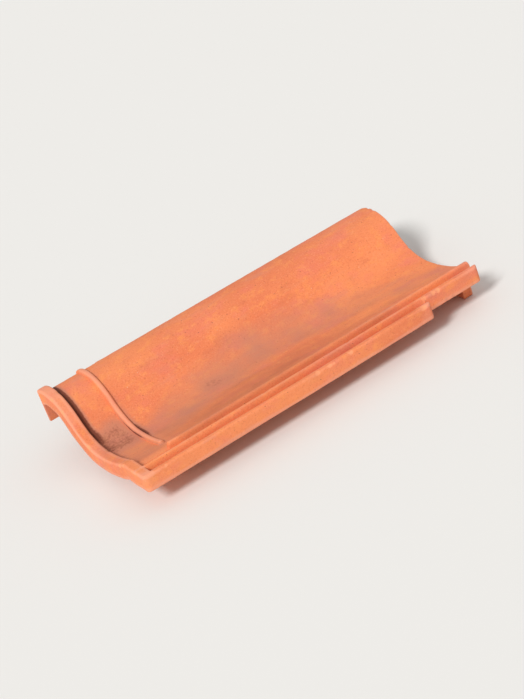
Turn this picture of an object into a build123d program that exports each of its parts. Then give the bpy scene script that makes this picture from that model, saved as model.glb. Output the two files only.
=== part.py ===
from build123d import *
import os
from math import asin, atan, atan2, degrees, radians, sin, sqrt

# Interlocking clay pantile, one fired piece, in millimetres.
# X runs across the tile, from the cover lock (-X) to the side lock (+X).
# Y runs down the slope, from the head end (-Y) to the foot end (+Y).
# Z is up, and z = 0 is the level floor on which the nibs and the foot rib rest.

# Overall sizes
tile_length = 420.0
tile_width = 248.0
wall = 12.0
nib_depth = 13.0
head_lap = 72.0

# Cross section, measured on the weather face, but for the shoulder beside the side
# lock: its radius is that of the deepest rib where it passes under the shoulder.
# The roll's outer edge is trimmed upright, and cut back near the head.
roll_height = 45.0
roll_radius = 51.0
valley_radius = 60.0
pan_rise = 12.0
shoulder_radius = 3.0
edge_trim = 1.0
cover_cut_width = 24.0

# Side lock: ribs with channels between them, the first rib beside the pan
side_rib_count = 3
side_rib_width = 7.0
side_rib_round = 2.0
side_channel_width = 9.0
side_channel_depth = 10.0
side_web = 9.0

# Cover lock: the roll's edge and a rib inside the roll hang over the neighbour's
# side lock, with this clearance
lock_clearance = 1.5

# Head lock: a bold outer rib across the tile, and a slim inner one that leaves a
# gap beside the side lock
head_rib_width = 13.0
head_rib_height = 6.0
head_rib_round = 2.5
head_channel_width = 34.0
inner_rib_width = 7.0
inner_rib_height = 3.0
inner_rib_round = 1.5
inner_rib_gap = 20.0

# Underside: hanging nibs near the head, a hook rib and a foot rib near the foot
nib_width = 26.0
nib_length = 20.0
nib_from_head = 42.0
nib_from_lock = 4.0
nib_spacing = 80.0
nib_slope = 7.0
nib_round = 2.0
hook_rib_width = 8.0
hook_rib_drop = 5.0
foot_rib_width = 12.0
foot_rib_drop = 6.0

# Rounding of the outline seen from above
outer_corner = 6.0
inner_corner = 3.0


def bearing(start, end):
    """Angle of the direction from one point to another, in degrees."""
    return degrees(atan2(end[1] - start[1], end[0] - start[0]))


def tangent_centre(centre, reach, height):
    """The point to the right of a centre, at a given distance from it and a given height."""
    return (centre[0] + sqrt(reach**2 - (height - centre[1]) ** 2), height)


# Places across the tile. What is joined to the wall is sunk into it a little.
sunk = 1.0
left_edge = -tile_width / 2
right_edge = tile_width / 2
side_pitch = side_rib_width + side_channel_width
side_lock_width = side_rib_count * side_pitch - side_channel_width
lock_start = right_edge - side_lock_width
cover_cut_edge = left_edge + cover_cut_width

# Places along the tile
head_end = -tile_length / 2
foot_end = tile_length / 2
inner_rib_from_head = head_rib_width + head_channel_width

# Levels: the side ribs are flush with the head rib where they meet, and the roll's
# edge ends just above the neighbour's shoulder
pan_top = nib_depth + wall
shoulder_top = pan_top + pan_rise
lock_crown = shoulder_top + head_rib_height
side_channel_floor = lock_crown - side_channel_depth
cover_edge = shoulder_top + lock_clearance
crest_top = pan_top + roll_height
roll_centre_z = crest_top - roll_radius

# The S line is a chain of tangent arcs: roll, valley, pan and shoulder. Pan and
# shoulder are a reverse curve that rises by pan_rise over pan_run.
shoulder_outside = wall + max(hook_rib_drop, foot_rib_drop) + shoulder_radius
roll_reach = sqrt(roll_radius**2 - (cover_edge - roll_centre_z) ** 2)
roll_centre = (left_edge - edge_trim + roll_reach, roll_centre_z)
valley_centre = tangent_centre(roll_centre, roll_radius + valley_radius, pan_top + valley_radius)
pan_run = lock_start - valley_centre[0]
pan_slope = 2 * degrees(atan(pan_rise / pan_run))
pan_radius = pan_run / sin(radians(pan_slope)) - shoulder_outside
pan_centre = (valley_centre[0], pan_top + pan_radius)
shoulder_centre = (lock_start, shoulder_top - shoulder_outside)
roll_end = bearing(roll_centre, valley_centre)

# The neighbour's first rib fits under the inside of the roll
inside_reach = sqrt((roll_radius - wall) ** 2 - (lock_crown + lock_clearance - roll_centre_z) ** 2)
laying_width = lock_start - (roll_centre[0] - inside_reach)


def section_line(depth):
    """Draw the S line at a depth under the weather face, and return its left end."""
    roll_start = 180 - degrees(asin((cover_edge - roll_centre_z) / (roll_radius - depth)))
    roll = CenterArc(roll_centre, roll_radius - depth, roll_start, roll_end - roll_start)
    CenterArc(valley_centre, valley_radius + depth, roll_end + 180, 90 - roll_end)
    CenterArc(pan_centre, pan_radius + depth, -90, pan_slope)
    CenterArc(shoulder_centre, shoulder_outside - depth, 90 + pan_slope, -pan_slope)
    Line((lock_start, shoulder_top - depth), (right_edge, shoulder_top - depth))
    return roll @ 0


def section_band(upper, lower):
    """Fill the strip of the section between two depths under the weather face."""
    with BuildLine() as outline:
        Line(section_line(upper), section_line(lower))
        Line((right_edge, shoulder_top - upper), (right_edge, shoulder_top - lower))
    make_face(outline.edges())


def section_below(depth):
    """Fill the section from a depth under the weather face down to the floor."""
    with BuildLine() as outline:
        left_end = section_line(depth)
        Polyline(
            left_end,
            (left_end.X, 0),
            (right_edge, 0),
            (right_edge, shoulder_top - depth),
        )
    make_face(outline.edges())


def block(low, high, mode=Mode.ADD):
    """A rectangle between its lowest and highest corners."""
    with Locations(low):
        Rectangle(high[0] - low[0], high[1] - low[1], align=(Align.MIN, Align.MIN), mode=mode)


def station(from_head):
    """The plane across the tile at a distance from its head end."""
    return Plane.XZ.offset(tile_length / 2 - from_head)


def sweep_rib(from_head, width, height, rounding):
    """Carry a rib with rounded shoulders along the whole S line."""
    with BuildLine(station(from_head + width / 2)) as path:
        section_line(0)
    line = path.wire()
    with BuildSketch(Plane(line @ 1, x_dir=(0, 1, 0), z_dir=(1, 0, 0))) as rib_section:
        block((-width / 2, -sunk), (width / 2, height))
        fillet(rib_section.vertices().group_by(Axis.Y)[-1], rounding)
    sweep(rib_section.sketch, path=line)


# Head lock ribs: the outer one fills up the side channels at the head end, and the
# inner one stops in a rounded end, a gap away from the side lock
with BuildPart() as outer_head_rib:
    sweep_rib(0, head_rib_width, head_rib_height, head_rib_round)

with BuildPart() as inner_head_rib:
    sweep_rib(inner_rib_from_head, inner_rib_width, inner_rib_height, inner_rib_round)
    with BuildSketch(Plane.XY) as inner_rib_reach:
        block(
            (cover_cut_edge - sunk, head_end + inner_rib_from_head - sunk),
            (lock_start - inner_rib_gap, head_end + inner_rib_from_head + inner_rib_width + sunk),
        )
        fillet(inner_rib_reach.vertices().group_by(Axis.X)[-1], inner_rib_width / 2)
    extrude(amount=crest_top + head_rib_height, mode=Mode.INTERSECT)

# Nibs that hook over the roof batten: the hanging face is upright, the head side slopes
nib_start = lock_start - nib_from_lock - nib_width
hanging_face = head_end + nib_from_head + nib_length
with BuildPart() as nibs:
    for nib_left in (nib_start, nib_start - nib_spacing):
        with BuildSketch(Plane.YZ.offset(nib_left)) as nib_side:
            Polygon(
                (hanging_face, 0),
                (hanging_face, crest_top),
                (hanging_face - nib_length, crest_top),
                (hanging_face - nib_length, nib_slope),
                (hanging_face - nib_length + nib_slope, 0),
                align=None,
            )
            fillet(nib_side.vertices().group_by(Axis.Y)[0], nib_round)
        extrude(amount=nib_width)
    with BuildSketch(station(0)):
        section_below(wall / 2)
    extrude(amount=-tile_length, mode=Mode.INTERSECT)

with BuildPart() as roof_tile:
    # The wall: roll, valley, pan and shoulder in one S, with the web of the side lock
    with BuildSketch(station(0)):
        section_band(0, wall)
        block((lock_start, side_channel_floor - side_web), (right_edge, shoulder_top))
    extrude(amount=-tile_length)

    # Side ribs, which end in the outer head rib; the first one leaves the head channel
    # open into the first side channel
    for rib in range(side_rib_count):
        rib_start = lock_start + rib * side_pitch
        from_head = inner_rib_from_head if rib == 0 else head_rib_width / 2
        with BuildSketch(station(from_head)) as side_rib:
            block((rib_start, shoulder_top - sunk), (rib_start + side_rib_width, lock_crown))
            fillet(side_rib.vertices().group_by(Axis.Y)[-1], side_rib_round)
        extrude(amount=from_head - tile_length)

    # Side channels between the ribs, cut into the web up to the outer head rib
    for channel in range(side_rib_count - 1):
        channel_start = lock_start + side_rib_width + channel * side_pitch
        with BuildSketch(station(head_rib_width)):
            block(
                (channel_start, side_channel_floor),
                (channel_start + side_channel_width, lock_crown),
            )
        extrude(amount=head_rib_width - tile_length, mode=Mode.SUBTRACT)

    # Cover rib inside the roll, which hangs in the neighbour's first channel
    cover_rib_start = lock_start + side_rib_width + lock_clearance - laying_width
    cover_rib_width = side_channel_width - 2 * lock_clearance
    cover_rib_middle = cover_rib_start + cover_rib_width / 2
    cover_rib_root = roll_centre_z + sqrt(
        (roll_radius - wall / 2) ** 2 - (roll_centre[0] - cover_rib_middle) ** 2
    )
    with BuildSketch(station(0)):
        block(
            (cover_rib_start, side_channel_floor + lock_clearance),
            (cover_rib_start + cover_rib_width, cover_rib_root),
        )
    extrude(amount=-tile_length)

    # Head lock and nibs
    add(outer_head_rib.part)
    add(inner_head_rib.part)
    add(nibs.part)

    # Hook rib, which drops into the head channel of the tile below
    hook_from_channel = (head_channel_width - hook_rib_width) / 2
    with BuildSketch(station(tile_length - head_lap + head_rib_width + hook_from_channel)):
        section_band(wall - sunk, wall + hook_rib_drop)
        block((roll_centre[0], 0), (lock_start, crest_top), mode=Mode.INTERSECT)
    extrude(amount=-hook_rib_width)

    # Foot rib, deepened under the pan to reach the floor
    with BuildSketch(station(tile_length - foot_rib_width)):
        section_band(wall - sunk, wall + foot_rib_drop)
        block((roll_centre[0], 0), (lock_start, crest_top), mode=Mode.INTERSECT)
    extrude(amount=-foot_rib_width)
    with BuildSketch(station(tile_length - foot_rib_width)):
        section_below(wall / 2)
        block(
            (nib_start - nib_spacing, 0),
            (lock_start - nib_from_lock, lock_crown),
            mode=Mode.INTERSECT,
        )
    extrude(amount=-foot_rib_width)

    # Outline from above: the roll's edge stops short of the head by the lap, and the
    # outermost side rib and channel stop short of the foot by the same lap
    with BuildSketch(Plane.XY) as outline_above:
        block((left_edge, head_end), (right_edge, foot_end))
        block((left_edge, head_end), (cover_cut_edge, head_end + head_lap), mode=Mode.SUBTRACT)
        block((right_edge - side_pitch, foot_end - head_lap), (right_edge, foot_end), mode=Mode.SUBTRACT)
        fillet(outline_above.vertices().sort_by_distance((0, 0))[2:], outer_corner)
        fillet(outline_above.vertices().sort_by_distance((0, 0))[:2], inner_corner)
    extrude(amount=crest_top + head_rib_height, mode=Mode.INTERSECT)

roof_tile.part.label = "roof_tile"
os.makedirs("parts", exist_ok=True)
export_step(roof_tile.part, "parts/roof_tile.step")
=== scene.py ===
import bpy
import numpy as np
from math import atan, atan2, cos, pi, radians, sin, sqrt
from mathutils import Matrix, Vector


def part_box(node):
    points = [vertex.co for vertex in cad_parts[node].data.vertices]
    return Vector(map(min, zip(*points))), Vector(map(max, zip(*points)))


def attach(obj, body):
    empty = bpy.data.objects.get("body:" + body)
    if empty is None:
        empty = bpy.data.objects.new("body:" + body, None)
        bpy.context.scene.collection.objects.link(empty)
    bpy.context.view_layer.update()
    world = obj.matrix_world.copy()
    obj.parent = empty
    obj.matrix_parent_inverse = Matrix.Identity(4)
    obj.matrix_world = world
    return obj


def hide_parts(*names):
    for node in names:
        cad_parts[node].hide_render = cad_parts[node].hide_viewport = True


# Clay pantile, pressed and fired in one piece. Its surface is worked out here in
# millimetres, in the frame of the construction model, and stored in metres: +Z out of
# the weather face, +Y from the head to the foot, +X from the roll to the side lock.
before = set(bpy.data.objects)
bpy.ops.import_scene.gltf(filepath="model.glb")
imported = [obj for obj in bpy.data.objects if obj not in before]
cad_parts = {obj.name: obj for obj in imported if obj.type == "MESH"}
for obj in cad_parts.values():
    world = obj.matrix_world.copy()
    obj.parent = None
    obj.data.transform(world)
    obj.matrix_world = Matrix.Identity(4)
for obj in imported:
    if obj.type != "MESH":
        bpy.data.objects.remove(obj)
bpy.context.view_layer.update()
tile_low, tile_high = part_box("roof_tile")
mm = 0.001

# Outer sizes come from the frame, the sizes of the form repeat the construction's
tile_width = (tile_high[0] - tile_low[0]) / mm
tile_length = (tile_high[1] - tile_low[1]) / mm
wall = 12.0
nib_depth = 13.0
head_lap = 72.0
roll_height = 45.0
roll_radius = 51.0
valley_radius = 60.0
pan_rise = 12.0
shoulder_outside = 21.0
edge_trim = 1.0
cover_cut_width = 24.0
side_rib_count = 3
side_rib_width = 7.0
side_channel_width = 9.0
side_channel_depth = 10.0
side_web = 9.0
lock_clearance = 1.5
head_rib_width = 13.0
head_rib_height = 6.0
head_channel_width = 34.0
inner_rib_width = 7.0
inner_rib_height = 3.0
inner_rib_gap = 20.0
nib_width = 26.0
nib_length = 20.0
nib_from_head = 42.0
nib_from_lock = 4.0
nib_spacing = 80.0
nib_slope = 7.0
hook_rib_width = 8.0
hook_rib_drop = 5.0
foot_rib_width = 12.0
foot_rib_drop = 6.0
outer_corner = 6.0
inner_corner = 3.0

# Softness of the pressed form: how far rims and the ribs' flanks are rounded
edge_round = 1.8
under_edge_share = 0.7
flank_power = 2.4
rib_round = 2.6
slim_rib_round = 3.2
under_round = 2.0
cover_rib_round = 1.5
sharp_angle = 42.0

# What firing and handling did to the form
warp_height = 0.35
swell_height = 0.14
edge_waver = 0.5
waver_depth = 4.0
calm_corner = 8.0
chip_seed = 21
chip_size = (1.2, 3.6)
chip_depth_share = (0.25, 0.45)
chip_from_flank = 0.8
chip_inward_share = 0.6
least_ragged = 0.55
ragged_more = 0.9
pale_chip_depth = 0.45
least_edge = 0.5
clear_of_floor = 3.0

# Noises over the plan: the size of a cell, and the seed of the values at its corners.
# The values repeat after lattice_size cells, and the tile's middle is at lattice_shift.
noises = {
    "warp": (150.0, 3),
    "swell": (9.0, 4),
    "fine swell": (4.0, 5),
    "waver": (14.0, 6),
    "under soil": (55.0, 8),
    "blotch": (22.0, 9),
    "ragged": (1.3, 31),
}
lattice_size = 256
lattice_shift = 1000

# The grid: number of lines, how much denser they stand at an edge or a rib, and the
# reach of that crowding. The upright wall has rows at these shares of its height.
column_crowd = (170, 4.0, 1.6)
row_crowd = (262, 3.0, 1.8)
fine_steps = 8000
wall_rows = (0.15, 0.4, 0.7)

# Bands down the tile, of dirt, of a stain with painted shade in it, and of a darker spot in the
# inner rib's root line: the middle's place across it, reach and strength
pan_soil = (-7.0, 30.0, 0.74)
# The pan's brown stain, made darker with painted shade of the pan
pan_stain_and_shade = (62.0, 42.0, 0.66)
channel_soil = (-2.0, 24.0, 1.18)
channel_film = (50.0, 38.0, 0.62)
inner_rib_spot = (6.0, 18.0, 0.6)

# Dirt along the tile: the pan's soil bends towards the side lock by pan_soil_bend at
# bend_length from mid-length, and it comes in blotches between a least share and more
pan_soil_bend = 25.0
bend_length = 125.0
pan_dirt_middle = -60.0
pan_dirt_length = 150.0
least_pan_dirt = 0.45
channel_dirt_reach = 19.0
channel_dirt_power = 6
clean_crown = 0.8
least_blotch = 0.6
blotch_more = 0.8

# Lines of soil at the ribs' roots, at the two head ribs also painted shadow cast by the ribs:
# reach, strength and power
outer_rib_soil_and_shadow = (7.0, 1.9, 4)
inner_rib_soil_and_shadow = (4.6, 0.85, 2)
side_rib_root = (1.9, 0.15, 2)
under_root = (1.9, 0.5, 2)
flank_reach = 1.1
under_film = 0.3

# Fades of dirt, of the stain's painted shade and of the painted shadow lines: least share, or
# none, at the first place, and whole at the second
stain_and_shade_by_length = (230.0, 10.0, 0.25)
stain_and_shade_start_length = 10.0
outer_root_fade = (0.0, -35.0, 0.12)
inner_root_to_lock = (40.0, 20.0, 0.35)
inner_root_to_roll = (-60.0, -20.0, 0.4)
clean_edge = (0.0, 3.0, 0.2)

# Wear: its reach and strength on edges, crowns and corners, and its fade at the head
edge_wear_reach = 1.7
lock_edge_wear = 0.4
crown_wear_reach = 1.5
rib_wear = 0.5
# The inner head rib's crown is paler by wear and by a painted highlight
slim_rib_wear_and_highlight = 0.95
head_crown_wear = 0.5
head_wear_fade = (40.0, 0.0, 0.3)
least_head_crown = 0.55
crest_wear = 0.3
crest_wear_reach = 20.0
corner_wear = 0.6
corner_wear_reach = 13.0
under_rim = 1.5
under_rim_reach = 1.2

# Share of each mark that is left on the upright wall
wall_share = {"soil": 0.25, "stain_and_shade": 0.0, "wear": 0.3, "chipped": 0.0}

# Places across and along the tile
left_edge = -tile_width / 2
right_edge = tile_width / 2
head_end = -tile_length / 2
foot_end = tile_length / 2
side_pitch = side_rib_width + side_channel_width
lock_start = right_edge - side_rib_count * side_pitch + side_channel_width
cover_cut_edge = left_edge + cover_cut_width
head_rib_end = head_end + head_rib_width
inner_rib_start = head_rib_end + head_channel_width
inner_rib_end = inner_rib_start + inner_rib_width
channel_middle = (head_rib_end + inner_rib_start) / 2
cover_cut_end = head_end + head_lap
lock_cut_start = foot_end - head_lap
lock_cut_edge = right_edge - side_pitch
hanging_face = head_end + nib_from_head + nib_length
nib_start = lock_start - nib_from_lock - nib_width
nib_starts = (nib_start - nib_spacing, nib_start)
hook_rib_start = lock_cut_start + head_rib_width + (head_channel_width - hook_rib_width) / 2
hook_rib_end = hook_rib_start + hook_rib_width
foot_rib_start = foot_end - foot_rib_width

# Outer corners of the outline, and which way each one points
outer_corners = (
    (left_edge, foot_end, -1, 1),
    (left_edge, cover_cut_end, -1, -1),
    (cover_cut_edge, head_end, -1, -1),
    (right_edge, head_end, 1, -1),
    (right_edge, lock_cut_start, 1, 1),
    (lock_cut_edge, foot_end, 1, 1),
)
inner_corners = (
    (cover_cut_edge, cover_cut_end, -1, -1),
    (lock_cut_edge, lock_cut_start, 1, 1),
)

# Levels, and the centres of the tangent arcs of the S line
pan_top = nib_depth + wall
shoulder_top = pan_top + pan_rise
lock_crown = shoulder_top + head_rib_height
channel_floor = lock_crown - side_channel_depth
cover_edge = shoulder_top + lock_clearance
crest_top = pan_top + roll_height
roll_centre_z = crest_top - roll_radius


def tangent_centre(centre, reach, height):
    """The point to the right of a centre, at a given distance from it and a given height."""
    return (centre[0] + sqrt(reach**2 - (height - centre[1]) ** 2), height)


roll_reach = sqrt(roll_radius**2 - (cover_edge - roll_centre_z) ** 2)
roll_centre = (left_edge - edge_trim + roll_reach, roll_centre_z)
valley_centre = tangent_centre(roll_centre, roll_radius + valley_radius, pan_top + valley_radius)
pan_run = lock_start - valley_centre[0]
pan_slope = 2 * atan(pan_rise / pan_run)
pan_radius = pan_run / sin(pan_slope) - shoulder_outside
pan_centre = (valley_centre[0], pan_top + pan_radius)
shoulder_centre = (lock_start, shoulder_top - shoulder_outside)
roll_end = atan2(valley_centre[1] - roll_centre[1], valley_centre[0] - roll_centre[0])

# The roll hangs over the neighbour's side lock with its edge and with a rib inside it
inside_radius = roll_radius - wall
neighbour_crown = lock_crown + lock_clearance
neighbour_lock = roll_centre[0] - sqrt(inside_radius**2 - (neighbour_crown - roll_centre_z) ** 2)
inner_edge = roll_centre[0] - sqrt(inside_radius**2 - (cover_edge - roll_centre_z) ** 2)
cover_rib_start = neighbour_lock + side_rib_width + lock_clearance
cover_rib_end = cover_rib_start + side_channel_width - 2 * lock_clearance
cover_rib_bottom = channel_floor + lock_clearance


def ramp(values, start, end, least=0.0):
    """Even ramp: (value - start) / (end - start), kept between the least share and 1."""
    return np.clip((values - start) / (end - start), least, 1)


def rise(inside, reach):
    """A rounded flank: 0 outside, then (1 - (1 - t)^p)^(1/p) of the way in, t = inside / reach."""
    return (1 - (1 - ramp(inside, 0, reach)) ** flank_power) ** (1 / flank_power)


def near(distance, reach, power=2):
    """Fading from 1 at no distance: exp(-|distance / reach|^power)."""
    return np.exp(-(np.abs(distance / reach) ** power))


def band(values, middle, reach, strength):
    """A flat-topped band round its middle: strength * exp(-|(value - middle) / reach|^4)."""
    return strength * near(values - middle, reach, 4)


def between(values, start, end):
    """Distance inside a strip from its nearer edge, negative outside."""
    return np.minimum(values - start, end - values)


def lattice_noise(x, y, name):
    """Smooth noise from 0 to 1: random values on a square lattice, eased between its
    points with 3t^2 - 2t^3."""
    cell, seed = noises[name]
    u = x / cell + lattice_shift
    v = y / cell + lattice_shift
    column = np.floor(u).astype(int)
    row = np.floor(v).astype(int)
    table = np.random.default_rng(seed).random((lattice_size, lattice_size))

    def value(i, j):
        return table[(column + i) % lattice_size, (row + j) % lattice_size]

    s = (u - column) ** 2 * (3 - 2 * (u - column))
    t = (v - row) ** 2 * (3 - 2 * (v - row))
    low_side = value(0, 0) * (1 - s) + value(1, 0) * s
    high_side = value(0, 1) * (1 - s) + value(1, 1) * s
    return low_side * (1 - t) + high_side * t


def s_line(x, depth):
    """Height of the S line at a depth under the weather face: centre height minus or
    plus sqrt(radius squared - distance from the centre squared) on each hollow or
    rounded arc, and level beyond the last arc."""

    def arc(centre, radius, side):
        return centre[1] + side * np.sqrt(np.maximum(radius**2 - (x - centre[0]) ** 2, 0))

    roll = roll_radius - depth
    return np.select(
        [
            x < roll_centre[0] + roll * cos(roll_end),
            x < valley_centre[0],
            x < pan_centre[0] + (pan_radius + depth) * sin(pan_slope),
            x < lock_start,
        ],
        [
            arc(roll_centre, roll, 1),
            arc(valley_centre, valley_radius + depth, -1),
            arc(pan_centre, pan_radius + depth, -1),
            arc(shoulder_centre, shoulder_outside - depth, 1),
        ],
        default=shoulder_top - depth,
    )


def rib_insides(x, y):
    """Distance inside each rib of the weather face from its nearer flank, negative
    outside: the outer head rib, the inner head rib, and a list of the side ribs. A rib
    that stands at the tile's edge has no flank on that side."""
    outer = head_rib_end - y
    end_middle = lock_start - inner_rib_gap - inner_rib_width / 2
    line_middle = (inner_rib_start + inner_rib_end) / 2
    inner = inner_rib_width / 2 - np.hypot(np.maximum(x - end_middle, 0), y - line_middle)
    first = between(x, lock_start, lock_start + side_rib_width)
    sides = [np.minimum(first, y - inner_rib_start)]
    tile_edge = np.where(y > lock_cut_start, lock_cut_edge, right_edge)
    for rib in range(1, side_rib_count):
        start = lock_start + rib * side_pitch
        end = start + side_rib_width
        has_flank = end < tile_edge - side_rib_width / 2
        sides.append(np.minimum(x - start, np.where(has_flank, end - x, side_pitch)))
    return outer, inner, sides


def weather_face(x, y):
    """Height of the weather face: the S line raised by the head ribs, and beside it
    the side lock, where each rib is a rounded step above the channel floor."""
    outer, inner, sides = rib_insides(x, y)
    outer_lift = head_rib_height * rise(outer, rib_round)
    inner_lift = inner_rib_height * rise(inner, slim_rib_round)
    height = s_line(x, -np.maximum(outer_lift, inner_lift))

    first_start = rise(y - inner_rib_start, rib_round)
    first_lift = head_rib_height * first_start * rise(x - lock_start, rib_round)
    first_flank = side_channel_depth * rise(lock_start + side_rib_width - x, rib_round)
    lock = np.minimum(shoulder_top + first_lift, channel_floor + first_flank)
    for inside in sides[1:] + [outer]:
        lock = np.maximum(lock, channel_floor + side_channel_depth * rise(inside, rib_round))
    return np.where(x > lock_start, lock, height)


def underside(x, y):
    """Height of the underside: the S line a wall lower, level at the roll's outer edge,
    dropped by the hook rib and the foot rib, with the cover rib, the nibs and the deep
    stretch of the foot rib."""
    hook = hook_rib_drop * rise(between(y, hook_rib_start, hook_rib_end), under_round)
    foot_share = rise(y - foot_rib_start, under_round)
    across = rise(between(x, roll_centre[0], lock_start), under_round)
    height = s_line(x, wall + np.maximum(hook, foot_rib_drop * foot_share) * across)
    height = np.where(x > lock_start, channel_floor - side_web, height)
    height = np.where(x < roll_centre[0], np.maximum(height, cover_edge), height)

    cover_rib = rise(between(x, cover_rib_start, cover_rib_end), cover_rib_round)
    height = height * (1 - cover_rib) + cover_rib_bottom * cover_rib

    deep_strip = between(x, nib_starts[0], lock_start - nib_from_lock)
    height = height * (1 - rise(deep_strip, under_round) * foot_share)

    sloped = np.clip(hanging_face - nib_length + nib_slope - y, 0, nib_slope)
    strips = [between(x, start, start + nib_width) for start in nib_starts]
    along_nib = rise(between(y, hanging_face - nib_length, hanging_face), under_round)
    nib = sum(rise(strip, under_round) for strip in strips) * along_nib
    return height * (1 - nib) + sloped * nib


def inside_outline(x, y):
    """Distance inward from the nearest edge of the outline with its two cut corners."""
    frame_gap = np.minimum(between(x, left_edge, right_edge), between(y, head_end, foot_end))
    cover_cut = np.hypot(np.maximum(x - cover_cut_edge, 0), np.maximum(y - cover_cut_end, 0))
    lock_cut = np.hypot(np.maximum(lock_cut_edge - x, 0), np.maximum(lock_cut_start - y, 0))
    return np.minimum(frame_gap, np.minimum(cover_cut, lock_cut))


def crowded_lines(features, start, end, count, crowding, reach):
    """Grid lines from start to end that crowd round the features: the running sum of a
    density of 1 + crowding * exp(-(distance / reach)^2), cut into equal shares, with the
    line nearest to each feature moved onto it."""
    fine = np.linspace(start, end, fine_steps)
    density = 1 + crowding * near(fine[:, None] - np.array(features), reach).max(axis=1)
    share = np.concatenate([[0], np.cumsum((density[1:] + density[:-1]) / 2)])
    lines = np.interp(np.linspace(0, share[-1], count), share, fine)
    for feature in features:
        lines[np.argmin(np.abs(lines - feature))] = feature
    return lines


def grid_lines():
    """Columns across the tile and rows along it, crowded where its form turns."""
    across = [left_edge, inner_edge, cover_cut_edge, cover_rib_start, cover_rib_end]
    across += [start + offset for start in nib_starts for offset in (0, nib_width)]
    across += [lock_start - nib_from_lock]
    for rib in range(side_rib_count):
        rib_start = lock_start + rib * side_pitch
        across += [rib_start, rib_start + side_rib_width]
    along = [head_end, head_rib_end, inner_rib_start, inner_rib_end, cover_cut_end]
    along += [hanging_face - nib_length, hanging_face, hook_rib_start, hook_rib_end]
    along += [lock_cut_start, foot_rib_start, foot_end]
    columns = crowded_lines(across, left_edge, right_edge, *column_crowd)
    rows = crowded_lines(along, head_end, foot_end, *row_crowd)
    return columns, rows


def round_outer_corners(x, y):
    """Plan corners: a point at (u, v) from the arc's centre, in radii, moves to
    (u sqrt(1 - v^2 / 2), v sqrt(1 - u^2 / 2)), which turns the square into a quarter circle."""
    tolerance = 1e-6
    new_x, new_y = x.copy(), y.copy()
    for corner_x, corner_y, side_x, side_y in outer_corners:
        u = 1 + side_x * (x - corner_x) / outer_corner
        v = 1 + side_y * (y - corner_y) / outer_corner
        here = (u > 0) & (v > 0) & (u <= 1 + tolerance) & (v <= 1 + tolerance)
        round_u = u * np.sqrt(1 - np.clip(v, 0, 1) ** 2 / 2)
        round_v = v * np.sqrt(1 - np.clip(u, 0, 1) ** 2 / 2)
        new_x = np.where(here, corner_x + side_x * outer_corner * (round_u - 1), new_x)
        new_y = np.where(here, corner_y + side_y * outer_corner * (round_v - 1), new_y)
    return new_x, new_y


def round_inner_corners(x, y):
    """Cut corners' insides: an edge point at t from the corner moves onto the arc at
    the angle 45 degrees * (1 - t / radius) past its end, fading out into the clay."""
    fade_reach = 3 * inner_corner
    tolerance = 1e-9
    new_x, new_y = x.copy(), y.copy()
    for corner_x, corner_y, side_x, side_y in inner_corners:
        u = side_x * (x - corner_x)
        v = side_y * (y - corner_y)
        along = np.clip(np.maximum(u, v), 0, inner_corner)
        turn = pi / 4 * (1 - along / inner_corner)
        slide = inner_corner * (1 - np.sin(turn)) - along
        lift = inner_corner * (1 - np.cos(turn))
        fade = ramp(np.minimum(u, v), -fade_reach, 0) * ramp(np.maximum(u, v), -fade_reach, 0)
        move_u = np.where(u > v, slide, lift) * fade
        move_v = np.where(u > v, lift, slide) * fade
        diagonal = np.abs(u - v) < tolerance
        move_u = np.where(diagonal, (move_u + move_v) / 2, move_u)
        move_v = np.where(diagonal, move_u, move_v)
        new_x = new_x + side_x * move_u
        new_y = new_y + side_y * move_v
    return new_x, new_y


def chips(x, y):
    """Small bites out of edges and rib shoulders: each is depth * (1 - d^2), d the
    distance in plan from a point on the edge, over a size made ragged by noise."""
    rng = np.random.default_rng(chip_seed)
    first_shoulder = lock_start + chip_from_flank
    second_shoulder = first_shoulder + side_pitch
    head_shoulder = head_rib_end - chip_from_flank
    # Start and end of each edge, and how many bites are missing from it
    edges = (
        (left_edge, cover_cut_end, left_edge, foot_end, 5),
        (left_edge, foot_end, lock_cut_edge, foot_end, 8),
        (lock_cut_edge, lock_cut_start, lock_cut_edge, foot_end, 3),
        (right_edge, head_end, right_edge, lock_cut_start, 7),
        (cover_cut_edge, head_end, right_edge, head_end, 8),
        (cover_cut_edge, head_end, cover_cut_edge, cover_cut_end, 3),
        (first_shoulder, inner_rib_end, first_shoulder, foot_end, 3),
        (second_shoulder, head_rib_end, second_shoulder, foot_end, 3),
        (cover_cut_edge, head_shoulder, lock_start, head_shoulder, 4),
    )
    ragged = least_ragged + ragged_more * lattice_noise(x, y, "ragged")
    bite = np.zeros_like(x)
    for start_x, start_y, end_x, end_y, count in edges:
        for share in rng.random(count):
            size = rng.uniform(*chip_size)
            depth = size * rng.uniform(*chip_depth_share)
            centre_x = start_x + share * (end_x - start_x)
            centre_y = start_y + share * (end_y - start_y)
            distance = np.hypot(x - centre_x, y - centre_y) / size * ragged
            bite = np.maximum(bite, depth * np.clip(1 - distance**2, 0, 1))
    return bite


def heights(x, y, edge_gap, bite):
    """Heights of the weather side and the underside. Both are rounded at the outline by
    radius * (1 - sqrt(1 - t^2)), t falling from 1 at the edge to 0 a radius inside it, and
    warped by noise, the underside less and less towards the floor. The weather side also
    swells by two finer noises and loses its bites."""
    softened = edge_round * (1 - np.sqrt(1 - ramp(edge_gap, edge_round, 0) ** 2))
    warp = warp_height * (2 * lattice_noise(x, y, "warp") - 1)
    swell = swell_height * (lattice_noise(x, y, "swell") + lattice_noise(x, y, "fine swell"))
    top = weather_face(x, y) - softened - bite - swell - warp_height + warp
    bottom = underside(x, y)
    lift = softened * under_edge_share + warp_height + warp
    bottom = bottom + lift * ramp(bottom, 0, clear_of_floor)
    return top, np.minimum(bottom, top - least_edge)


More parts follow.
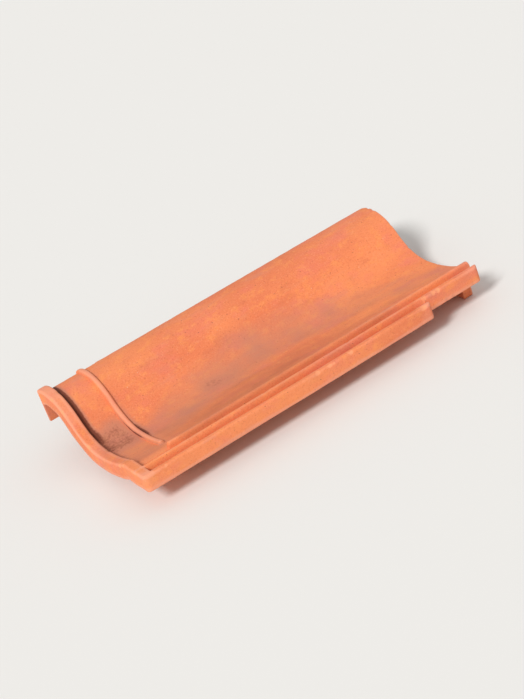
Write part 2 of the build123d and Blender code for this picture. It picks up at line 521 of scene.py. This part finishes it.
def wavering_outline(x, y, columns, rows, edge_gap, bite):
    """Plan of the underside and of the weather side: corners rounded, the outline drawn
    inward by noise, less so near an outer corner, and the weather side also by its bites."""
    inward = np.gradient(edge_gap, columns, rows)
    from_corners = [np.hypot(x - corner[0], y - corner[1]) for corner in outer_corners]
    calm = ramp(np.min(from_corners, axis=0), 0, calm_corner)
    at_edge = ramp(edge_gap, waver_depth, 0) * calm
    waver = edge_waver * lattice_noise(x, y, "waver") * at_edge
    bitten = chip_inward_share * bite * at_edge
    rounded = round_inner_corners(*round_outer_corners(x, y))
    plan = [place + waver * way for place, way in zip(rounded, inward)]
    bitten_plan = [place + bitten * way for place, way in zip(plan, inward)]
    return plan, bitten_plan


def at_root(inside, reach, strength, power):
    """The line at a rib's foot, of soil, and at the two head ribs also of painted shadow, wider
    outside the rib than up its flank:
    strength * exp(-|distance / reach|^power)."""
    return strength * near(np.where(inside < 0, inside / reach, inside / flank_reach), 1, power)


def along_pan(y):
    """Dirt along the pan: 1 in the middle, fading to its least share as exp(-(distance /
    length)^2), and none above the inner rib."""
    fading = least_pan_dirt + (1 - least_pan_dirt) * near(y - pan_dirt_middle, pan_dirt_length)
    return fading * (y > inner_rib_start)


def soil_and_shadow_above(x, y, edge_gap, blotches):
    """Soil and painted shadow on the weather face: a band of soil at the foot of the roll, bent
    towards the side lock by the square of the distance from mid-length, bands of soil in the head
    channel, and lines at the ribs' roots, which at the two head ribs are soil and painted shadow
    cast by the ribs. The inner rib's crown and the edges are cleaner."""
    outer, inner, sides = rib_insides(x, y)
    soil = band(x - pan_soil_bend * (y / bend_length) ** 2, *pan_soil) * along_pan(y) * blotches
    in_channel = near(y - channel_middle, channel_dirt_reach, channel_dirt_power)
    channel_bands = band(x, *channel_soil) + band(x, *channel_film)
    soil += channel_bands * in_channel * (1 + blotches) / 2
    soil *= 1 - clean_crown * rise(inner, slim_rib_round)

    # Dark lines at the two head ribs' roots: soil and painted shadow cast by the ribs
    soil += at_root(outer, *outer_rib_soil_and_shadow) * ramp(x, *outer_root_fade)
    reach, strength, power = inner_rib_soil_and_shadow
    strength = strength * ramp(x, *inner_root_to_lock) * ramp(x, *inner_root_to_roll)
    strength = strength + band(x, *inner_rib_spot)
    soil += at_root(inner, reach, strength, power) * (y > inner_rib_start)
    soil += sum(at_root(inside, *side_rib_root) for inside in sides) * (y > head_rib_end)
    return soil * ramp(edge_gap, *clean_edge)


def stain_and_shade_above(x, y):
    """The rain's brown stain, darkened further by painted shade: a band over the pan's lock side,
    fading towards the foot.
    """
    by_length = ramp(y, *stain_and_shade_by_length) * ramp(y - inner_rib_end, 0, stain_and_shade_start_length)
    return band(x, *pan_stain_and_shade) * along_pan(y) * by_length


def wear_and_highlight_above(x, y, edge_gap, blotches):
    """Wear of the weather face, each part fading as exp(-(distance / reach)^2): from the
    edges, the ribs' crowns, the roll's crest and the corners away from the roll's edge,
    and in blotches over the whole outer head rib. The inner head rib's crown gets a painted
    highlight as well as wear."""
    outer, inner, sides = rib_insides(x, y)
    at_head = ramp(x, *head_wear_fade)
    edge_share = np.where(x > lock_start, lock_edge_wear, 1)
    wear = near(edge_gap, edge_wear_reach) * np.where(y < head_rib_end, at_head, edge_share)
    # The inner head rib's crown: wear and a painted highlight
    crowns = [(outer, rib_wear), (inner, slim_rib_wear_and_highlight)] + [(side, rib_wear) for side in sides]
    for inside, strength in crowns:
        wear += strength * near(inside - rib_round, crown_wear_reach)
    on_head_rib = rise(outer, rib_round) * np.maximum(at_head, least_head_crown)
    wear += head_crown_wear * on_head_rib * blotches
    wear += crest_wear * near(x - roll_centre[0], crest_wear_reach)
    for corner_x, corner_y, _, _ in outer_corners:
        if corner_x > left_edge:
            from_corner = np.hypot(x - corner_x, y - corner_y)
            wear += corner_wear * near(from_corner, corner_wear_reach)
    return np.clip(wear, 0, 1)


def marks_beneath(x, y, edge_gap):
    """Soil and wear of the underside: a film by noise and lines at the roots of the nibs
    and ribs, and wear fading from the edges, the nibs' rims and the foot rib's rim."""
    along_nib = between(y, hanging_face - nib_length, hanging_face)
    nibs = [np.minimum(between(x, start, start + nib_width), along_nib) for start in nib_starts]
    foot = y - foot_rib_start
    hook = between(y, hook_rib_start, hook_rib_end)
    cover = between(x, cover_rib_start, cover_rib_end)
    soil = under_film * lattice_noise(x, y, "under soil")
    soil += sum(at_root(inside, *under_root) for inside in nibs + [hook, foot, cover])
    wear = near(edge_gap, edge_wear_reach)
    for inside in nibs + [foot]:
        wear += rib_wear * near(inside - under_rim, under_rim_reach)
    return soil, np.clip(wear, 0, 1)


def weathering(x, y, edge_gap, bite):
    """Each mark, mostly from 0 to 1, on the weather side and on the underside."""
    blotches = least_blotch + blotch_more * lattice_noise(x, y, "blotch")
    under_soil, under_wear = marks_beneath(x, y, edge_gap)
    none = np.zeros_like(x)
    return {
        # On the weather side the soil mark also holds the painted shadow lines at the head ribs'
        # roots
        "soil": (soil_and_shadow_above(x, y, edge_gap, blotches), under_soil),
        # The stain mark also holds painted shade over the pan
        "stain_and_shade": (stain_and_shade_above(x, y), none),
        # The wear mark also holds the painted highlight on the inner head rib's crown
        "wear": (wear_and_highlight_above(x, y, edge_gap, blotches), under_wear),
        "chipped": (ramp(bite, 0, pale_chip_depth), none),
    }


def outline_walk(solid, number):
    """Start and end points of the filled cells' boundary edges, anticlockwise from above."""
    padded = np.pad(solid, 1)
    sides = (
        (padded[2:, 1:-1], (1, 0), (1, 1)),
        (padded[1:-1, 2:], (1, 1), (0, 1)),
        (padded[:-2, 1:-1], (0, 1), (0, 0)),
        (padded[1:-1, :-2], (0, 0), (1, 0)),
    )
    starts, ends = [], []
    for beyond, first, second in sides:
        i, j = np.nonzero(solid & ~beyond)
        starts.append(number[i + first[0], j + first[1]])
        ends.append(number[i + second[0], j + second[1]])
    return np.concatenate(starts), np.concatenate(ends)


def closed_skin(name, upper, lower, solid, marks):
    """Mesh of two grids of points and the wall between them. The lower grid's faces are
    turned over, and the walk round the outline makes each wall face point out. The wall's
    rows stand under the lower grid's edge, so that a bite stays at the top. Each mark
    becomes an attribute."""
    count = upper[..., 0].size
    number = np.arange(count).reshape(upper.shape[:2])
    i, j = np.nonzero(solid)
    ring = [number[i, j], number[i + 1, j], number[i + 1, j + 1], number[i, j + 1]]
    corners = np.stack(ring, axis=1)
    faces = [corners, corners[:, ::-1] + count]

    starts, ends = outline_walk(solid, number)
    rim = np.unique(starts)
    wall_points = 2 * count + np.arange(len(wall_rows) * len(rim)).reshape(-1, len(rim))
    levels = np.concatenate([[rim], wall_points, [rim + count]])
    first, second = np.searchsorted(rim, starts), np.searchsorted(rim, ends)
    for above, below in zip(levels[:-1], levels[1:]):
        ring = [below[first], below[second], above[second], above[first]]
        faces.append(np.stack(ring, axis=1))
    faces = np.concatenate(faces)

    upper, lower = upper.reshape(-1, 3), lower.reshape(-1, 3)
    points = [upper, lower]
    for share in wall_rows:
        row = lower[rim].copy()
        row[:, 2] = upper[rim, 2] * (1 - share) + lower[rim, 2] * share
        points.append(row)
    points = np.concatenate(points)

    used = np.unique(faces)
    renumber = np.zeros(len(points), int)
    renumber[used] = np.arange(len(used))
    mesh = bpy.data.meshes.new(name)
    mesh.from_pydata(points[used] * mm, [], renumber[faces])
    mesh.update()
    mesh.polygons.foreach_set("use_smooth", np.ones(len(mesh.polygons), bool))
    mesh.set_sharp_from_angle(angle=radians(sharp_angle))
    for mark, (above, beneath) in marks.items():
        above, beneath = above.ravel(), beneath.ravel()
        values = [above, beneath]
        for share in wall_rows:
            row = above[rim] * (1 - share) + beneath[rim] * share
            values.append(wall_share[mark] * row)
        values = np.concatenate(values)[used]
        mesh.attributes.new(mark, "FLOAT", "POINT").data.foreach_set("value", values)
    piece = bpy.data.objects.new(name, mesh)
    bpy.context.scene.collection.objects.link(piece)
    return piece


def tile_surface():
    """The tile as one closed skin: a weather side and an underside over the same grid,
    joined by an upright wall round the outline, with the soil and wear of each point."""
    columns, rows = grid_lines()
    x, y = np.meshgrid(columns, rows, indexing="ij")
    edge_gap = inside_outline(x, y)
    bite = chips(x, y)
    top, bottom = heights(x, y, edge_gap, bite)
    plan, bitten_plan = wavering_outline(x, y, columns, rows, edge_gap, bite)

    # Cells are left out in the two cut corners
    middle_x = (columns[1:] + columns[:-1])[:, None] / 2
    middle_y = (rows[1:] + rows[:-1])[None, :] / 2
    cover_cut = (middle_x < cover_cut_edge) & (middle_y < cover_cut_end)
    lock_cut = (middle_x > lock_cut_edge) & (middle_y > lock_cut_start)
    upper = np.stack([*bitten_plan, top], axis=-1)
    lower = np.stack([*plan, bottom], axis=-1)
    marks = weathering(x, y, edge_gap, bite)
    return closed_skin("fired_tile", upper, lower, ~(cover_cut | lock_cut), marks)


def camera():
    """The photograph's viewpoint, turned to the tile's middle, with a longer lens."""
    azimuth = radians(67.8)
    elevation = radians(25.8)
    roll = radians(-20.8)
    distance = 2.074
    focus_pixels = 2020.0
    frame_pixels = 524.0
    aim = Vector((0, 0, 0.03))
    flat = cos(elevation)
    ahead = Vector((-sin(azimuth) * flat, cos(azimuth) * flat, -sin(elevation)))
    level = Vector((cos(azimuth), sin(azimuth), 0))
    upright = level.cross(ahead)
    right = level * cos(roll) + upright * sin(roll)
    up = upright * cos(roll) - level * sin(roll)
    data = bpy.data.cameras.new("view")
    data.sensor_fit = "HORIZONTAL"
    data.sensor_width = 36.0
    data.lens = data.sensor_width * focus_pixels / frame_pixels
    holder = bpy.data.objects.new("view", data)
    turn = Matrix((right, up, -ahead)).transposed().to_4x4()
    holder.matrix_world = Matrix.Translation(aim - ahead * distance) @ turn
    bpy.context.scene.collection.objects.link(holder)
    bpy.context.scene.camera = holder


def colour(code):
    """Linear RGBA of an sRGB hex code: ((c + 0.055) / 1.055)^2.4, or c / 12.92 when dark."""
    channels = [int(code[i : i + 2], 16) / 255 for i in (1, 3, 5)]
    linear = [((c + 0.055) / 1.055) ** 2.4 if c > 0.04045 else c / 12.92 for c in channels]
    return (*linear, 1)


def add(tree, kind, wires, output=0, **settings):
    """Add a node, set its properties, set or link its sockets, and return an output."""
    made = tree.nodes.new("ShaderNode" + kind)
    for name, value in settings.items():
        setattr(made, name, value)
    for socket, source in wires.items():
        if isinstance(source, bpy.types.NodeSocket):
            tree.links.new(source, made.inputs[socket])
        else:
            made.inputs[socket].default_value = source
    return made.outputs[output]


def fired_clay():
    """Red clay pressed in a mould, fired without glaze, and weathered outdoors: dry and
    matt, warm orange that drifts from tan to pink, sandy grain, the press's drag lines
    down the tile, paler rubbed edges, and brown soil in the hollows. Painted light and shade as
    well: dark painted shadow lines at the head ribs' roots, a painted highlight on the inner head
    rib's crown, and painted shade in the pan's brown stain."""
    material = bpy.data.materials.new("pressed and fired red clay")
    material.use_nodes = True
    tree = material.node_tree
    surface = tree.nodes["Principled BSDF"]
    place = add(tree, "TexCoord", {}, "Object")

    # Patterns by the size of their grain in millimetres, their detail, and their stretch
    # down the tile. The sand is really 0.3 to 0.8 mm, drawn coarser so that it shows.
    fine_share = 0.6
    pattern = {}
    for name, grain, detail, stretch in (
        ("kiln cloud", 85.0, 2.0, 1.6),
        ("flush", 30.0, 4.0, 1.8),
        ("mottle", 10.0, 4.0, 1.3),
        ("patch", 17.0, 5.0, 2.2),
        ("drag line", 1.6, 2.0, 45.0),
        ("rain streak", 7.0, 3.0, 9.0),
        ("sand", 1.5, 2.0, 1.0),
        ("crust", 3.2, 4.0, 1.0),
    ):
        at = add(tree, "Mapping", {"Vector": place, "Scale": (1, 1 / stretch, 1)})
        wires = {"Vector": at, "Scale": 1 / (grain * mm), "Detail": detail}
        wires["Roughness"] = fine_share
        pattern[name] = add(tree, "TexNoise", wires, "Fac")

    # Spots by their spacing and size in millimetres: whole within half their size, gone
    # at 1.3 times it
    for name, spacing, spot in (
        ("iron speck", 9.0, 0.75),
        ("lime speck", 15.0, 0.6),
        ("pit", 6.0, 0.5),
    ):
        wires = {"Vector": place, "Scale": 1 / (spacing * mm)}
        distance = add(tree, "TexVoronoi", wires, "Distance")
        whole, gone = 0.5 * spot / spacing, 1.3 * spot / spacing
        limits = {"Value": distance, 1: whole, 2: gone, 3: 1.0, 4: 0.0}
        pattern[name] = add(tree, "MapRange", limits)

    # Marks that the mesh carries
    for mark in wall_share:
        pattern[mark] = add(tree, "Attribute", {}, "Fac", attribute_name=mark)

    # Layers of colour, from the body up: where (noise * weight + mark) passes from low
    # to high, the layer comes in up to its strength
    tint = colour("#E57D50")
    for noise, weight, mark, low, high, strength, code in (
        ("kiln cloud", 1.0, None, 0.40, 0.62, 0.90, "#F08C57"),
        ("flush", 1.0, None, 0.50, 0.66, 0.62, "#E97B63"),
        ("mottle", 1.0, None, 0.52, 0.66, 0.50, "#F59653"),
        ("patch", 1.0, None, 0.55, 0.72, 0.40, "#D2714B"),
        ("rain streak", 1.0, None, 0.54, 0.74, 0.30, "#D98A66"),
        ("sand", 1.0, None, 0.56, 0.74, 0.45, "#F6A67C"),
        ("sand", 1.0, None, 0.44, 0.28, 0.40, "#B4583A"),
        ("iron speck", 1.0, None, 0.30, 0.90, 0.55, "#70392A"),
        ("lime speck", 1.0, None, 0.30, 0.90, 0.60, "#F5CDAE"),
        ("patch", 1.1, "wear", 0.85, 1.35, 0.55, "#F4A688"),
        ("crust", 0.9, "chipped", 0.70, 1.10, 0.85, "#F49C6E"),
        # Brown stain with painted shade of the pan
        ("patch", 1.0, "stain_and_shade", 0.60, 1.40, 0.80, "#B96745"),
        # Soil, and painted shadow lines at the head ribs' roots
        ("flush", 1.0, "soil", 0.60, 1.40, 0.76, "#BE7B62"),
        # The darkest crust: soil in the head channel and painted shadow at the outer head rib's
        # root
        ("crust", 0.8, "soil", 1.35, 1.85, 0.88, "#642814"),
    ):
        wires = {0: pattern[noise], 1: weight, 2: pattern[mark] if mark else 0.0}
        amount = add(tree, "Math", wires, operation="MULTIPLY_ADD")
        share = add(tree, "MapRange", {"Value": amount, 1: low, 2: high, 3: 0.0, 4: strength})
        wires = {0: share, 6: tint, 7: colour(code)}
        tint = add(tree, "Mix", wires, 2, data_type="RGBA")
    tree.links.new(tint, surface.inputs["Base Color"])

    # The last layer is the dark crust of soil, with the painted shadow at the outer head rib's
    # root; it is drier and rougher than the fired skin
    skin_roughness, crust_roughness = 0.82, 0.96
    wires = {"Value": share, 3: skin_roughness, 4: crust_roughness}
    tree.links.new(add(tree, "MapRange", wires), surface.inputs["Roughness"])
    surface.inputs["IOR"].default_value = 1.5

    # Relief in millimetres
    relief = 0.0
    for name, height in (
        ("patch", 0.16),
        ("mottle", 0.14),
        ("drag line", 0.07),
        ("sand", 0.13),
        ("crust", 0.16),
        ("pit", -0.35),
        ("lime speck", 0.12),
    ):
        wires = {0: pattern[name], 1: height, 2: relief}
        relief = add(tree, "Math", wires, operation="MULTIPLY_ADD")
    bump = add(tree, "Bump", {"Height": relief, "Strength": 1.0, "Distance": mm}, "Normal")
    tree.links.new(bump, surface.inputs["Normal"])
    return material


def studio():
    """A pale floor under one soft lamp, too far off to brighten the floor unevenly, and an
    even white surround."""
    floor_size = 16.0
    lamp_place = Vector((4.0, -5.4, 5.6))
    lamp_spread = radians(14)
    lamp_strength = 2.45
    surround_strength = 0.55
    bpy.ops.mesh.primitive_plane_add(size=floor_size)
    floor = bpy.context.object
    floor.name = "floor"
    paint = bpy.data.materials.new("matt studio floor paint")
    paint.use_nodes = True
    coat = paint.node_tree.nodes["Principled BSDF"]
    coat.inputs["Base Color"].default_value = colour("#E9E7E3")
    coat.inputs["Roughness"].default_value = 1.0
    floor.data.materials.append(paint)

    data = bpy.data.lights.new("key", "SUN")
    data.angle = lamp_spread
    data.energy = lamp_strength
    lamp = bpy.data.objects.new("key", data)
    turn = lamp_place.to_track_quat("Z", "Y").to_matrix().to_4x4()
    lamp.matrix_world = Matrix.Translation(lamp_place) @ turn
    bpy.context.scene.collection.objects.link(lamp)

    world = bpy.data.worlds.new("studio")
    world.use_nodes = True
    surround = world.node_tree.nodes["Background"]
    surround.inputs["Color"].default_value = (1, 1, 1, 1)
    surround.inputs["Strength"].default_value = surround_strength
    bpy.context.scene.world = world
    bpy.context.scene.view_settings.view_transform = "Standard"


camera()
studio()
tile = tile_surface()
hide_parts("roof_tile")
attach(tile, "root")
tile.data.materials.append(fired_clay())
